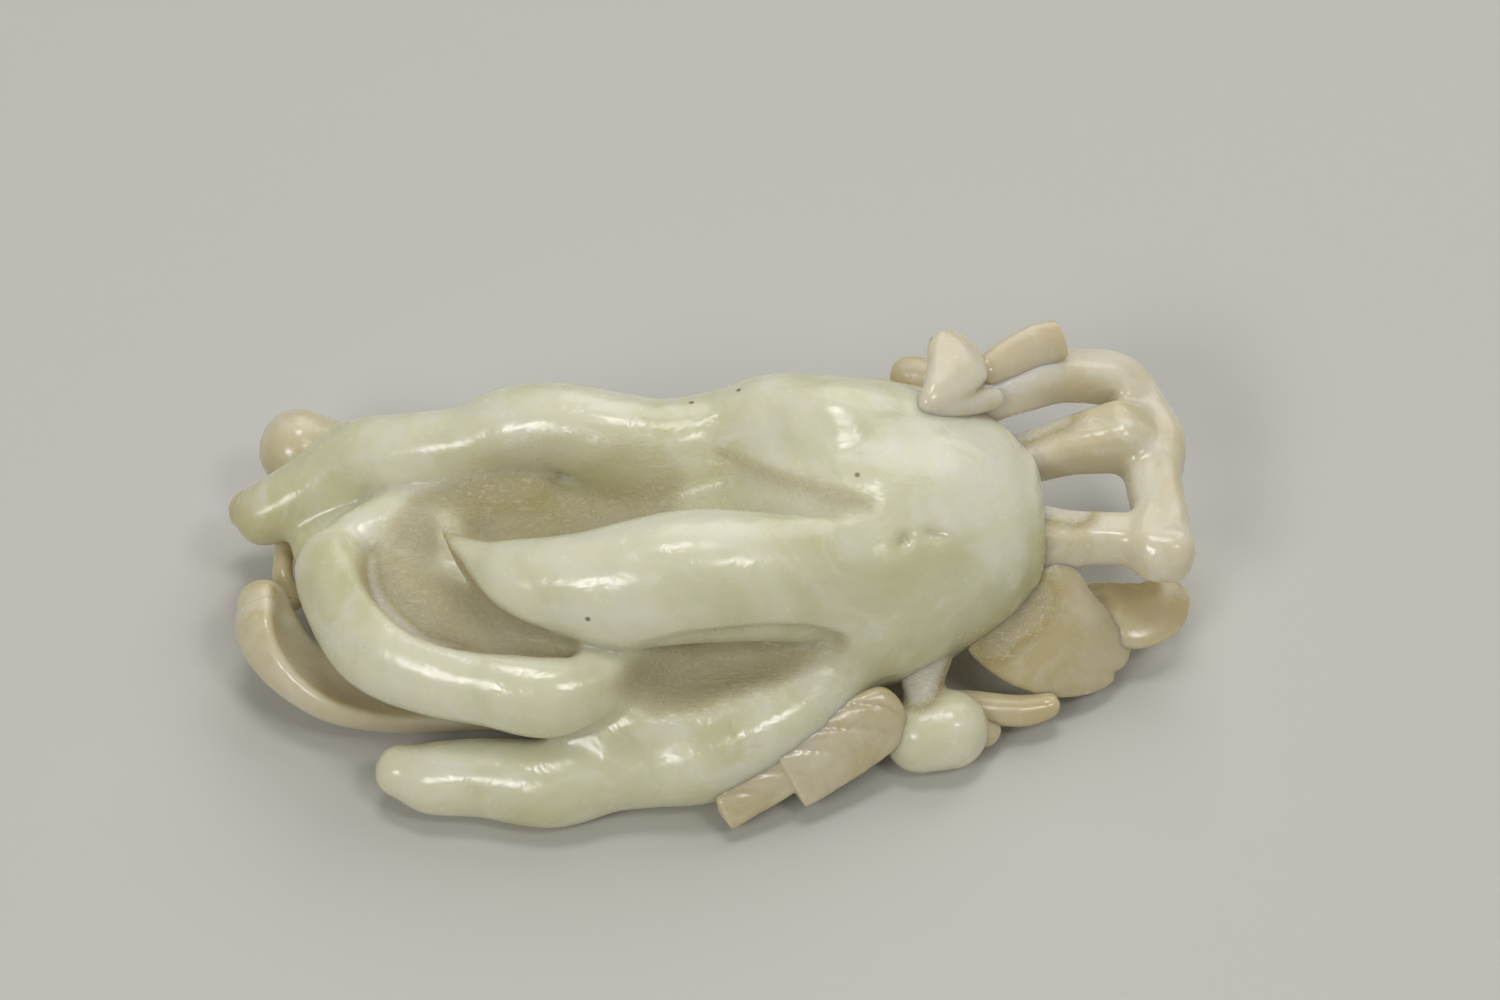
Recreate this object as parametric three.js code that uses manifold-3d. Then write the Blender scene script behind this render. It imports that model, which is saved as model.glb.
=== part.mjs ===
// A fingered citron on its leafy branch, carved from one jade pebble.
// Millimetres, +Z up. The fruit lies on its back, fingers toward -X and branch toward +X.
import * as THREE from 'three';
import Module from 'manifold-3d';

const wasm = await Module();
wasm.setup();

// Overall sizes of the carving. The places below are shares of these three.
const CARVING_LENGTH = 105;
const CARVING_WIDTH = 54;
const CARVING_HEIGHT = 32;

// Cut between two neighbouring carved elements, and depth of the flats they rest on.
const CARVED_GAP = 0.3;
const REST_DEPTH = 0.5;

// The fruit: its round body and the palm that the fingers lie on.
const FRUIT_HALF_WIDTH = 19;
const FRUIT_HALF_HEIGHT = 15.6;
const FRUIT_END_LENGTH = 1.9;
const PALM_HALF_WIDTH = 14;
const PALM_HALF_HEIGHT = 9.8;

// The fingers, each with its own radius.
const CENTRE_FINGER_RADIUS = 6.9;
const FAR_FINGER_RADIUS = 4.9;
const CURLED_FINGER_RADIUS = 4.7;
const NEAR_FINGER_RADIUS = 4.8;
const UNDER_NEAR_FINGER_RADIUS = 4.2;
const UNDER_FAR_FINGER_RADIUS = 4.4;
const UNDER_MIDDLE_FINGER_RADIUS = 3.6;

// The pierced branch, its two struts and the short stalk of the fruitlet.
const BRANCH_HALF_WIDTH = 3;
const BRANCH_HALF_HEIGHT = 2.8;
const UPPER_STRUT_RADIUS = 2.6;
const LOWER_STRUT_RADIUS = 3;
const STALK_RADIUS = 2.2;
const FRUITLET_RADIUS = 4.4;
const FRUITLET_HALF_WAIST = 1.1;

// The leaves: half width at the widest place, and thickness of the stone.
const LEAF_THICKNESS = 2.2;
const FRONT_LEAF_HALF_WIDTH = 8;
const BACK_LOBE_HALF_WIDTH = 3.6;
const SMALL_LEAF_HALF_WIDTH = 1.7;
const SEPAL_HALF_WIDTH = 2;
const SERRATED_LEAF_HALF_WIDTH = 4.2;
const FOLDED_LEAF_HALF_WIDTH = 3.3;
const POINTED_LEAF_HALF_WIDTH = 2.5;
const HIDDEN_LEAF_HALF_WIDTH = 2.6;

// The hollows ground between the fingers: the largest radius that the wheel leaves in each.
const LONG_HOLLOW_RADIUS = 6;
const CURL_HOLLOW_RADIUS = 3.8;
const TROUGH_RADIUS = 2.5;
const CRESCENT_RADIUS = 6;

// How finely the stone is divided: sides round a limb, rings from row to row, rings in a rounded end.
const LIMB_SIDES = 14;
const BODY_SIDES = 24;
const LEAF_SIDES = 14;
const RINGS_PER_ROW = 2;
const END_RINGS = 3;

const UPWARD = new THREE.Vector3(0, 0, 1);

// Rows are places from tip to root: along, across, up, then half width and half height
// as shares of the element's own radius. A missing half height equals the half width.
const FRUIT_AXIS_SHARE = 0.1;
const fruitBodyShares = [
  [-0.03, 0.09, 1, 0.6, 0.62],
  [0.07, 0.09, 1, 0.88, 0.86],
  [0.13, 0.09, 1, 0.97, 0.97],
  [0.16, 0.093, 1.005, 0.985, 0.985],
  [0.19, 0.098, 1.02, 0.945, 0.945],
  [0.231, 0.104, 1.04, 0.86, 0.86],
  [0.275, 0.106, 1.05, 0.715, 0.715],
  [0.303, 0.107, 1.055, 0.585, 0.585],
  [0.322, 0.108, 1.058, 0.45, 0.45],
];
const palmShares = [
  [-0.29, 0.09, 0.29, 0.7],
  [-0.23, 0.08, 0.315, 0.92],
  [-0.12, 0.07, 0.33, 1],
  [0, 0.06, 0.36, 1],
  [0.08, 0.09, 0.38, 1],
];
const centreFingerShares = [
  [-0.287, -0.025, 0.689, 0.194],
  [-0.256, -0.107, 0.675, 0.39],
  [-0.199, -0.175, 0.687, 0.641],
  [-0.143, -0.195, 0.705, 0.765],
  [-0.086, -0.195, 0.712, 0.946],
  [-0.029, -0.182, 0.726, 1.003],
  [0.03, -0.165, 0.708, 1.002],
  [0.09, -0.125, 0.655, 1.067],
  [0.15, -0.038, 0.563, 1.097],
];
const farFingerShares = [
  [-0.47, 0.177, 0.409, 0.7],
  [-0.42, 0.205, 0.49, 0.773],
  [-0.369, 0.231, 0.584, 0.9],
  [-0.318, 0.213, 0.65, 0.85],
  [-0.259, 0.204, 0.7, 0.834],
  [-0.209, 0.213, 0.757, 0.94],
  [-0.16, 0.204, 0.783, 0.957],
  [-0.103, 0.176, 0.773, 1.011],
  [-0.052, 0.168, 0.76, 0.994],
  [0.001, 0.202, 0.741, 0.958],
  [0.06, 0.258, 0.706, 1.108],
  [0.122, 0.279, 0.648, 1.217],
  [0.19, 0.259, 0.559, 1.199],
];
const curledFingerShares = [
  [-0.335, 0.08, 0.537, 0.525],
  [-0.374, 0.036, 0.523, 0.525],
  [-0.389, -0.029, 0.522, 0.842],
  [-0.372, -0.117, 0.504, 1],
  [-0.332, -0.215, 0.479, 1.191],
  [-0.276, -0.281, 0.469, 1.079],
  [-0.221, -0.318, 0.471, 0.989],
  [-0.168, -0.335, 0.454, 1.015],
  [-0.124, -0.315, 0.458, 0.884],
  [-0.077, -0.289, 0.451, 0.711],
  [-0.022, -0.266, 0.403, 0.842],
  [0.029, -0.218, 0.347, 0.837],
  [0.089, -0.117, 0.305, 0.846],
];
const nearFingerShares = [
  [-0.315, -0.385, 0.162, 0.594],
  [-0.286, -0.394, 0.148, 0.805],
  [-0.234, -0.396, 0.151, 0.871],
  [-0.162, -0.408, 0.148, 0.981],
  [-0.108, -0.385, 0.169, 0.942],
  [-0.063, -0.369, 0.182, 1.024],
  [-0.012, -0.357, 0.206, 1.136],
  [0.04, -0.318, 0.242, 1.068],
  [0.09, -0.269, 0.282, 0.917],
  [0.15, -0.13, 0.34, 0.84],
];
const underNearFingerShares = [
  [-0.465, -0.022, 0.306, 0.703],
  [-0.456, -0.083, 0.279, 0.868],
  [-0.423, -0.15, 0.226, 0.861],
  [-0.38, -0.18, 0.193, 0.97],
  [-0.318, -0.186, 0.162, 0.969],
  [-0.257, -0.178, 0.155, 0.952],
  [-0.176, -0.159, 0.15, 1.061],
  [-0.08, -0.086, 0.207, 1.092],
];
const underFarFingerShares = [
  [-0.442, 0.377, 0.39, 1.031],
  [-0.397, 0.381, 0.33, 0.926],
  [-0.33, 0.382, 0.245, 0.994],
  [-0.25, 0.379, 0.148, 1.049],
  [-0.164, 0.339, 0.139, 1.1],
  [-0.05, 0.259, 0.219, 1.1],
];
const underMiddleFingerShares = [
  [-0.494, 0.263, 0.283, 0.636],
  [-0.44, 0.249, 0.249, 0.905],
  [-0.37, 0.2, 0.179, 1.047],
  [-0.29, 0.15, 0.12, 1.099],
  [-0.2, 0.12, 0.14, 1.1],
];
const branchShares = [
  [0.195, 0.251, 0.639, 0.9],
  [0.261, 0.316, 0.72, 1.05],
  [0.32, 0.372, 0.735, 1.15],
  [0.369, 0.402, 0.702, 0.95],
  [0.42, 0.42, 0.645, 1],
  [0.443, 0.383, 0.584, 0.98],
  [0.456, 0.29, 0.545, 1.24],
  [0.454, 0.198, 0.527, 1.07],
  [0.46, 0.088, 0.496, 1],
  [0.459, 0.029, 0.483, 1.2],
];
const upperStrutShares = [
  [0.261, 0.247, 0.555, 1.118],
  [0.319, 0.25, 0.555, 1.067],
  [0.364, 0.268, 0.582, 1.186],
  [0.419, 0.286, 0.6, 1.5],
];
const lowerStrutShares = [
  [0.251, 0.068, 0.463, 1.113],
  [0.315, 0.076, 0.476, 1.156],
  [0.369, 0.068, 0.483, 0.945],
  [0.432, 0.059, 0.491, 0.927],
];

// Rows of the hollows: the path of the wheel, and its radius as a share of the hollow's own radius.
const longHollowShares = [
  [-0.3, 0.063, 0.675, 0.4],
  [-0.257, 0.037, 0.703, 0.73],
  [-0.21, 0.03, 0.731, 0.93],
  [-0.162, 0.028, 0.766, 1.03],
  [-0.114, 0.011, 0.788, 1],
  [-0.076, 0.006, 0.819, 0.93],
  [-0.029, -0.004, 0.875, 0.87],
  [0.002, -0.011, 0.9, 0.8],
  [0.035, -0.044, 0.913, 0.6],
  [0.071, -0.069, 0.919, 0.4],
  [0.115, -0.083, 0.928, 0.27],
];
const curlHollowShares = [
  [-0.32, 0.041, 0.675, 0.5],
  [-0.324, -0.015, 0.672, 0.66],
  [-0.326, -0.081, 0.653, 0.84],
  [-0.319, -0.159, 0.634, 1],
  [-0.297, -0.219, 0.625, 1.05],
  [-0.267, -0.252, 0.619, 0.92],
  [-0.232, -0.27, 0.606, 0.68],
  [-0.19, -0.283, 0.591, 0.47],
  [-0.148, -0.294, 0.575, 0.29],
];
const troughShares = [
  [-0.09, -0.38, 0.475, 0.48],
  [-0.057, -0.33, 0.481, 0.8],
  [-0.024, -0.281, 0.488, 0.96],
  [0.01, -0.248, 0.491, 1],
  [0.048, -0.235, 0.494, 0.96],
  [0.086, -0.226, 0.5, 0.72],
  [0.124, -0.23, 0.525, 0.4],
];
const crescentShares = [
  [-0.43, 0.022, 0.4, 0.33],
  [-0.425, -0.048, 0.388, 0.48],
  [-0.408, -0.119, 0.381, 0.73],
  [-0.376, -0.172, 0.388, 1],
  [-0.324, -0.194, 0.394, 1.23],
  [-0.267, -0.194, 0.394, 1.27],
];

// Rows beside the fruit: across from its axis in shares of its half width, up in shares of its height.
const stalkBesideShares = [
  [0.225, -0.568, 0.41, 1.2],
  [0.222, -0.711, 0.349, 1.05],
  [0.212, -0.853, 0.267, 0.95],
  [0.212, -0.966, 0.185, 0.9],
];
const fruitletBesideShares = [0.224, -1.04, 0.149];

// Rows of a leaf: along, across, up of its rib, then half widths of its two sides
// as shares of the leaf's own half width.
const frontLeafShares = [
  [0.352, 0.03, 0.455, 0.3, 0.3],
  [0.353, -0.01, 0.4, 0.38, 0.38],
  [0.35, -0.053, 0.344, 0.7, 0.65],
  [0.345, -0.1, 0.27, 1.12, 1.12],
  [0.338, -0.135, 0.21, 1.1, 1.05],
  [0.328, -0.165, 0.15, 0.8, 0.7],
];
const backLobeShares = [
  [0.39, -0.021, 0.3, 0.75, 0.7],
  [0.426, -0.032, 0.28, 1, 0.95],
  [0.455, -0.023, 0.28, 1, 1],
  [0.472, 0.004, 0.28, 0.65, 0.65],
];
const smallLeafShares = [
  [0.24, -0.205, 0.17, 0.8, 0.8],
  [0.275, -0.21, 0.15, 0.95, 1],
  [0.316, -0.204, 0.125, 0.9, 1],
  [0.345, -0.193, 0.125, 0.5, 0.55],
];
const sepalBesideShares = [
  [0.262, -0.952, 0.113, 0.8, 0.8],
  [0.275, -0.995, 0.092, 1, 1],
  [0.282, -1.052, 0.077, 0.6, 0.6],
];
const serratedLeafShares = [
  [0.185, -0.262, 0.22, 0.45, 0.6],
  [0.131, -0.315, 0.19, 0.8, 1],
  [0.1, -0.352, 0.165, 0.85, 1.05],
  [0.083, -0.372, 0.15, 0.85, 0.95],
  [0.07, -0.385, 0.135, 0.8, 0.55],
  [0.04, -0.411, 0.105, 0.75, 0.8],
  [0.008, -0.438, 0.07, 0.6, 0.55],
];
const foldedLeafBesideShares = [
  [0.215, 0.142, 0.974, 0.75, 0.7],
  [0.235, 0.37, 0.985, 0.8, 0.8],
  [0.25, 0.568, 0.98, 1.05, 1.1],
  [0.262, 0.696, 0.959, 0.8, 0.85],
];
const pointedLeafShares = [
  [0.27, 0.28, 0.8, 0.6, 0.6],
  [0.306, 0.345, 0.838, 1.2, 1.3],
  [0.335, 0.385, 0.856, 1.3, 1.4],
  [0.353, 0.425, 0.865, 0.6, 0.7],
];
const hiddenLeafBesideShares = [
  [0.234, 0.867, 0.677, 0.8, 0.8],
  [0.205, 0.924, 0.677, 1, 1],
  [0.182, 0.909, 0.662, 0.6, 0.6],
];

// Directions that the leaves face, and how far their edges bend toward that side.
const facingShares = {
  front: [0.35, -0.62, 0.7],
  back: [0.1, -0.3, 0.95],
  small: [0, -0.5, 0.86],
  sepal: [0.5, -0.6, 0.6],
  serrated: [0.2, -0.8, 0.56],
  folded: [-0.1, -0.8, 0.6],
  pointed: [0.1, -0.7, 0.7],
  hidden: [0, -0.3, 0.95],
};
const FLAT_BEND_SHARE = -0.1;
const CUPPED_BEND_SHARE = -0.3;
const FOLDED_BEND_SHARE = 0.3;

function placeOf([along, across, up]) {
  return new THREE.Vector3(along * CARVING_LENGTH, across * CARVING_WIDTH, up * CARVING_HEIGHT);
}

// Place that keeps to the skin of the fruit when the fruit grows or shrinks.
function placeBeside([along, outward, up]) {
  return new THREE.Vector3(
    along * CARVING_LENGTH,
    FRUIT_AXIS_SHARE * CARVING_WIDTH + outward * FRUIT_HALF_WIDTH,
    up * FRUIT_HALF_HEIGHT * 2,
  );
}

// A smooth line through the rows, and the stations along it: place, direction and two half sizes.
function stationsAlong(places, sizes, grown) {
  const spine = new THREE.CatmullRomCurve3(places);
  const girth = new THREE.CatmullRomCurve3(sizes);
  const count = (places.length - 1) * RINGS_PER_ROW;
  return Array.from({ length: count + 1 }, (_, i) => {
    const size = girth.getPoint(i / count);
    return {
      place: spine.getPoint(i / count),
      direction: spine.getTangent(i / count),
      first: size.x + grown,
      second: size.y + grown,
    };
  });
}

// Closed skin over rings of equal count, with one point closing each end.
function skinned(rings, startPoint, endPoint) {
  const sides = rings[0].length;
  const points = [...rings.flat(), startPoint, endPoint];
  const start = points.length - 2;
  const end = points.length - 1;
  const faces = [];
  rings.slice(1).forEach((_, r) => {
    for (let s = 0; s < sides; s += 1) {
      const next = (s + 1) % sides;
      const a = r * sides + s;
      const b = r * sides + next;
      faces.push([a, b, b + sides], [a, b + sides, a + sides]);
    }
  });
  const last = (rings.length - 1) * sides;
  for (let s = 0; s < sides; s += 1) {
    const next = (s + 1) % sides;
    faces.push([start, next, s], [end, last + s, last + next]);
  }
  return new wasm.Manifold(new wasm.Mesh({
    numProp: 3,
    vertProperties: new Float32Array(points.flatMap((point) => point.toArray())),
    triVerts: new Uint32Array(faces.flat()),
  }));
}

// Round or oval limb with rounded ends, carved along its rows.
function carvedLimb({ places, sizes, sides, endLength }, grown) {
  const stations = stationsAlong(places, sizes, grown);
  const ringAt = ({ place, direction, first, second }, share, shift) => {
    const aside = new THREE.Vector3().crossVectors(UPWARD, direction).normalize();
    const above = new THREE.Vector3().crossVectors(direction, aside);
    return Array.from({ length: sides }, (_, s) => {
      const angle = (s / sides) * Math.PI * 2;
      return place.clone()
        .addScaledVector(direction, shift)
        .addScaledVector(aside, Math.cos(angle) * first * share)
        .addScaledVector(above, Math.sin(angle) * second * share);
    });
  };
  const start = stations[0];
  const end = stations[stations.length - 1];
  const startLength = (start.first + start.second) / 2;
  const lastLength = endLength ? endLength + grown : (end.first + end.second) / 2;
  const quarter = (r) => (r / (END_RINGS + 1)) * (Math.PI / 2);
  const starting = [];
  const ending = [];
  for (let r = 1; r <= END_RINGS; r += 1) {
    starting.push(ringAt(start, Math.sin(quarter(r)), -Math.cos(quarter(r)) * startLength));
    ending.unshift(ringAt(end, Math.sin(quarter(r)), Math.cos(quarter(r)) * lastLength));
  }
  return skinned(
    [...starting, ...stations.map((station) => ringAt(station, 1, 0)), ...ending],
    start.place.clone().addScaledVector(start.direction, -startLength),
    end.place.clone().addScaledVector(end.direction, lastLength),
  );
}

// Leaf with a lens-like section whose edges bend toward or away from the side it faces.
function carvedLeaf({ places, sizes, facing, bend }, grown) {
  const stations = stationsAlong(places, sizes, grown);
  const toward = new THREE.Vector3(...facing).normalize();
  const thick = LEAF_THICKNESS / 2 + grown;
  const ringAt = ({ place, direction, first, second }, share) => {
    const aside = new THREE.Vector3().crossVectors(direction, toward).normalize();
    const above = new THREE.Vector3().crossVectors(aside, direction);
    return Array.from({ length: LEAF_SIDES }, (_, s) => {
      const angle = (s / LEAF_SIDES) * Math.PI * 2;
      const side = -Math.cos(angle);
      const reach = side * (side > 0 ? first : second) * share;
      const lift = Math.sin(angle) * thick * share + bend * side * Math.abs(reach) * Math.sign(side);
      return place.clone().addScaledVector(aside, reach).addScaledVector(above, lift);
    });
  };
  const start = stations[0];
  const end = stations[stations.length - 1];
  const pointPast = (station, way) => station.place.clone()
    .addScaledVector(station.direction, way * (LEAF_THICKNESS / 2 + grown));
  return skinned(stations.map((station) => ringAt(station, 1)), pointPast(start, -1), pointPast(end, 1));
}

function limb(shares, halfWidth, halfHeight = halfWidth, place = placeOf) {
  return (grown) => carvedLimb({
    places: shares.map(place),
    sizes: shares.map(([, , , wide, tall = wide]) => (
      new THREE.Vector3(wide * halfWidth, tall * halfHeight, 0))),
    sides: LIMB_SIDES,
  }, grown);
}

function leaf(shares, halfWidth, facing, bend, place = placeOf) {
  return (grown) => carvedLeaf({
    places: shares.map(place),
    sizes: shares.map(([, , , one, other]) => (
      new THREE.Vector3(one * halfWidth, other * halfWidth, 0))),
    facing,
    bend,
  }, grown);
}

function fruitBody(grown) {
  return carvedLimb({
    places: fruitBodyShares.map(([along, across, lift]) => new THREE.Vector3(
      along * CARVING_LENGTH,
      across * CARVING_WIDTH,
      lift * FRUIT_HALF_HEIGHT - REST_DEPTH,
    )),
    sizes: fruitBodyShares.map(([, , , wide, tall]) => new THREE.Vector3(
      wide * FRUIT_HALF_WIDTH,
      tall * FRUIT_HALF_HEIGHT,
      0,
    )),
    sides: BODY_SIDES,
    endLength: FRUIT_END_LENGTH,
  }, grown);
}

function fruitlet(grown) {
  const centre = placeBeside(fruitletBesideShares);
  const waist = new THREE.Vector3(FRUITLET_HALF_WAIST, 0, 0);
  const size = new THREE.Vector3(FRUITLET_RADIUS, FRUITLET_RADIUS, 0);
  return carvedLimb({
    places: [centre.clone().sub(waist), centre.clone().add(waist)],
    sizes: [size, size],
    sides: LIMB_SIDES,
  }, grown);
}

// Every element in the order of carving: each one is cut back from those before it.
const elements = {
  fruit_body: fruitBody,
  centre_finger: limb(centreFingerShares, CENTRE_FINGER_RADIUS),
  far_finger: limb(farFingerShares, FAR_FINGER_RADIUS),
  curled_finger: limb(curledFingerShares, CURLED_FINGER_RADIUS),
  near_finger: limb(nearFingerShares, NEAR_FINGER_RADIUS),
  palm: limb(palmShares, PALM_HALF_WIDTH, PALM_HALF_HEIGHT),
  under_near_finger: limb(underNearFingerShares, UNDER_NEAR_FINGER_RADIUS),
  under_far_finger: limb(underFarFingerShares, UNDER_FAR_FINGER_RADIUS),
  under_middle_finger: limb(underMiddleFingerShares, UNDER_MIDDLE_FINGER_RADIUS),
  branch: limb(branchShares, BRANCH_HALF_WIDTH, BRANCH_HALF_HEIGHT),
  upper_strut: limb(upperStrutShares, UPPER_STRUT_RADIUS),
  lower_strut: limb(lowerStrutShares, LOWER_STRUT_RADIUS),
  fruitlet,
  stalk: limb(stalkBesideShares, STALK_RADIUS, STALK_RADIUS, placeBeside),
  front_leaf: leaf(frontLeafShares, FRONT_LEAF_HALF_WIDTH, facingShares.front, CUPPED_BEND_SHARE),
  back_lobe: leaf(backLobeShares, BACK_LOBE_HALF_WIDTH, facingShares.back, FLAT_BEND_SHARE),
  small_leaf: leaf(smallLeafShares, SMALL_LEAF_HALF_WIDTH, facingShares.small, CUPPED_BEND_SHARE),
  sepal: leaf(
    sepalBesideShares,
    SEPAL_HALF_WIDTH,
    facingShares.sepal,
    FLAT_BEND_SHARE,
    placeBeside,
  ),
  serrated_leaf: leaf(
    serratedLeafShares,
    SERRATED_LEAF_HALF_WIDTH,
    facingShares.serrated,
    FLAT_BEND_SHARE,
  ),
  folded_leaf: leaf(
    foldedLeafBesideShares,
    FOLDED_LEAF_HALF_WIDTH,
    facingShares.folded,
    FOLDED_BEND_SHARE,
    placeBeside,
  ),
  pointed_leaf: leaf(
    pointedLeafShares,
    POINTED_LEAF_HALF_WIDTH,
    facingShares.pointed,
    CUPPED_BEND_SHARE,
  ),
  hidden_leaf: leaf(
    hiddenLeafBesideShares,
    HIDDEN_LEAF_HALF_WIDTH,
    facingShares.hidden,
    FLAT_BEND_SHARE,
    placeBeside,
  ),
};

// The hollows that the wheel leaves in each element.
const longHollow = limb(longHollowShares, LONG_HOLLOW_RADIUS)(0);
const curlHollow = limb(curlHollowShares, CURL_HOLLOW_RADIUS)(0);
const trough = limb(troughShares, TROUGH_RADIUS)(0);
const crescent = limb(crescentShares, CRESCENT_RADIUS)(0);
const hollows = {
  fruit_body: [longHollow],
  centre_finger: [longHollow, curlHollow],
  curled_finger: [curlHollow, trough],
  near_finger: [trough],
  palm: [longHollow, curlHollow, trough],
  under_near_finger: [crescent],
};

const paleJade = new THREE.MeshStandardMaterial({ color: 0xcccbb7, roughness: 0.22, metalness: 0 });

function largestPiece(solid) {
  return solid.decompose().reduce((best, piece) => (piece.volume() > best.volume() ? piece : best));
}

function meshOf(name, solid) {
  const { vertProperties, triVerts } = solid.getMesh();
  const geometry = new THREE.BufferGeometry();
  geometry.setAttribute('position', new THREE.BufferAttribute(vertProperties, 3));
  geometry.setIndex(new THREE.BufferAttribute(triVerts, 1));
  geometry.computeVertexNormals();
  const mesh = new THREE.Mesh(geometry, paleJade);
  mesh.name = name;
  return mesh;
}

const group = new THREE.Group();
group.name = 'jade_buddhas_hand_carving';
let carved = null;
Object.entries(elements).forEach(([name, shape]) => {
  const whole = shape(0);
  const cleared = carved ? whole.subtract(carved) : whole;
  const ground = (hollows[name] ?? []).reduce((stone, hollow) => stone.subtract(hollow), cleared);
  const grounded = ground.trimByPlane([0, 0, 1], 0);
  group.add(meshOf(name, largestPiece(grounded)));
  carved = carved ? carved.add(shape(CARVED_GAP)) : shape(CARVED_GAP);
});

// The frame is centred over the footprint, with the resting flats at zero height.
const bounds = new THREE.Box3().setFromObject(group);
const middle = bounds.getCenter(new THREE.Vector3());
group.position.set(-middle.x, -middle.y, 0);

export default group;
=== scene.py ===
import bpy
import numpy as np
import openvdb
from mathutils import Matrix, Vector


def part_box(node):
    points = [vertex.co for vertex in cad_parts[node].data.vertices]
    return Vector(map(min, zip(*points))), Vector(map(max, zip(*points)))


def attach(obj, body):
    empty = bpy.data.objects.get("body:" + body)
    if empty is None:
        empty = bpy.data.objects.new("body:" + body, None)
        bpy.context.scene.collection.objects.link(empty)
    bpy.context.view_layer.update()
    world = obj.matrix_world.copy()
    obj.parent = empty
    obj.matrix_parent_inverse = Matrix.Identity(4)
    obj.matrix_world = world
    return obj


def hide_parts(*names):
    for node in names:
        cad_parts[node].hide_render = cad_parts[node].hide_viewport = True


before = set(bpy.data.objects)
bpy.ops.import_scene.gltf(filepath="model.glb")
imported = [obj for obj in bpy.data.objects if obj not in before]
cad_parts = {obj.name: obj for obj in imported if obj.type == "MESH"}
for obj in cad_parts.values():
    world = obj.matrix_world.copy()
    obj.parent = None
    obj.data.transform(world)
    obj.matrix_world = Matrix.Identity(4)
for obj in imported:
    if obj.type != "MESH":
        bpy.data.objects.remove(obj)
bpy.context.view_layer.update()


# THE FRUIT. A fingered citron lying on its back: a smooth round body whose end divides into long
# wavy fingers. It is one pebble of nephrite, ground with abrasive wheels and then polished, so its
# parts flow into one another, and the floors between the fingers keep the matt of the wheel.

MM_PER_METRE = 1000
METRES_PER_MM = 0.001

# Sizes in millimetres. Places are shares of the first three, as the carver would mark out the pebble.
CARVING_LENGTH = 105.0
CARVING_WIDTH = 54.0
CARVING_HEIGHT = 32.0
REST_DEPTH = 0.5
FRUIT_HALF_WIDTH = 19.0
FRUIT_HALF_HEIGHT = 15.6
FRUIT_END_LENGTH = 1.9
PALM_HALF_WIDTH = 14.0
PALM_HALF_HEIGHT = 9.8
CENTRE_FINGER_RADIUS = 6.9
FAR_FINGER_RADIUS = 4.9
CURLED_FINGER_RADIUS = 4.7
NEAR_FINGER_RADIUS = 4.8
RIDGE_RISE = 2.5
RIDGE_RADIUS = 4.5
FLANK_DROP = 1.85
FLANK_RADIUS = 4.28

# Rows from tip to root: along, across, up, then half width as a share of the limb's own radius.
# The body's rows give their height as a share of the body's half height.
fruit_body_rows = [
    (-0.03, 0.09, 1, 0.6), (0.07, 0.09, 1, 0.88), (0.13, 0.09, 1, 0.962),
    (0.16, 0.093, 1.008, 0.965), (0.19, 0.098, 1.02, 0.935), (0.231, 0.104, 1.04, 0.845),
    (0.275, 0.106, 1.05, 0.7), (0.303, 0.107, 1.055, 0.58), (0.322, 0.108, 1.058, 0.445),
]
palm_rows = [
    (-0.29, 0.09, 0.29, 0.7), (-0.23, 0.08, 0.315, 0.92), (-0.12, 0.07, 0.33, 1.0),
    (0, 0.06, 0.36, 1.0), (0.08, 0.09, 0.38, 1),
]
centre_finger_rows = [
    (-0.287, -0.025, 0.689, 0.194), (-0.256, -0.107, 0.675, 0.39), (-0.199, -0.175, 0.687, 0.641),
    (-0.143, -0.195, 0.705, 0.765), (-0.086, -0.195, 0.712, 0.946), (-0.029, -0.182, 0.726, 1.003),
    (0.03, -0.165, 0.708, 1.002), (0.09, -0.125, 0.655, 1.067), (0.15, -0.038, 0.563, 1.097),
]
far_finger_rows = [
    (-0.47, 0.177, 0.409, 0.7), (-0.42, 0.205, 0.49, 0.773), (-0.369, 0.231, 0.584, 0.9),
    (-0.318, 0.213, 0.65, 0.85), (-0.259, 0.204, 0.7, 0.834), (-0.209, 0.213, 0.757, 0.94),
    (-0.16, 0.204, 0.783, 0.957), (-0.103, 0.176, 0.773, 1.011), (-0.052, 0.168, 0.76, 0.994),
    (0.001, 0.189, 0.764, 0.975), (0.06, 0.198, 0.806, 1.1), (0.122, 0.169, 0.838, 1.12),
    (0.178, 0.188, 0.845, 0.72), (0.22, 0.185, 0.79, 0.4),
]
curled_finger_rows = [
    (-0.335, 0.08, 0.537, 0.525), (-0.374, 0.036, 0.523, 0.525), (-0.389, -0.029, 0.522, 0.842),
    (-0.372, -0.117, 0.504, 1), (-0.332, -0.215, 0.479, 1.191), (-0.276, -0.281, 0.469, 1.079),
    (-0.221, -0.318, 0.471, 0.989), (-0.168, -0.335, 0.454, 1.015), (-0.124, -0.315, 0.458, 0.884),
    (-0.077, -0.289, 0.451, 0.711), (-0.022, -0.266, 0.403, 0.842), (0.029, -0.218, 0.347, 0.837),
    (0.089, -0.117, 0.305, 0.846),
]
near_finger_rows = [
    (-0.315, -0.385, 0.162, 0.594), (-0.286, -0.394, 0.148, 0.805), (-0.234, -0.396, 0.151, 0.871),
    (-0.162, -0.408, 0.148, 0.981), (-0.108, -0.385, 0.169, 0.942), (-0.063, -0.369, 0.182, 1.024),
    (-0.012, -0.357, 0.206, 1.136), (0.04, -0.318, 0.242, 1.068), (0.09, -0.269, 0.282, 0.917),
    (0.15, -0.13, 0.34, 0.84),
]


def place_of(row):
    return (row[0] * CARVING_LENGTH, row[1] * CARVING_WIDTH, row[2] * CARVING_HEIGHT)


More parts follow.
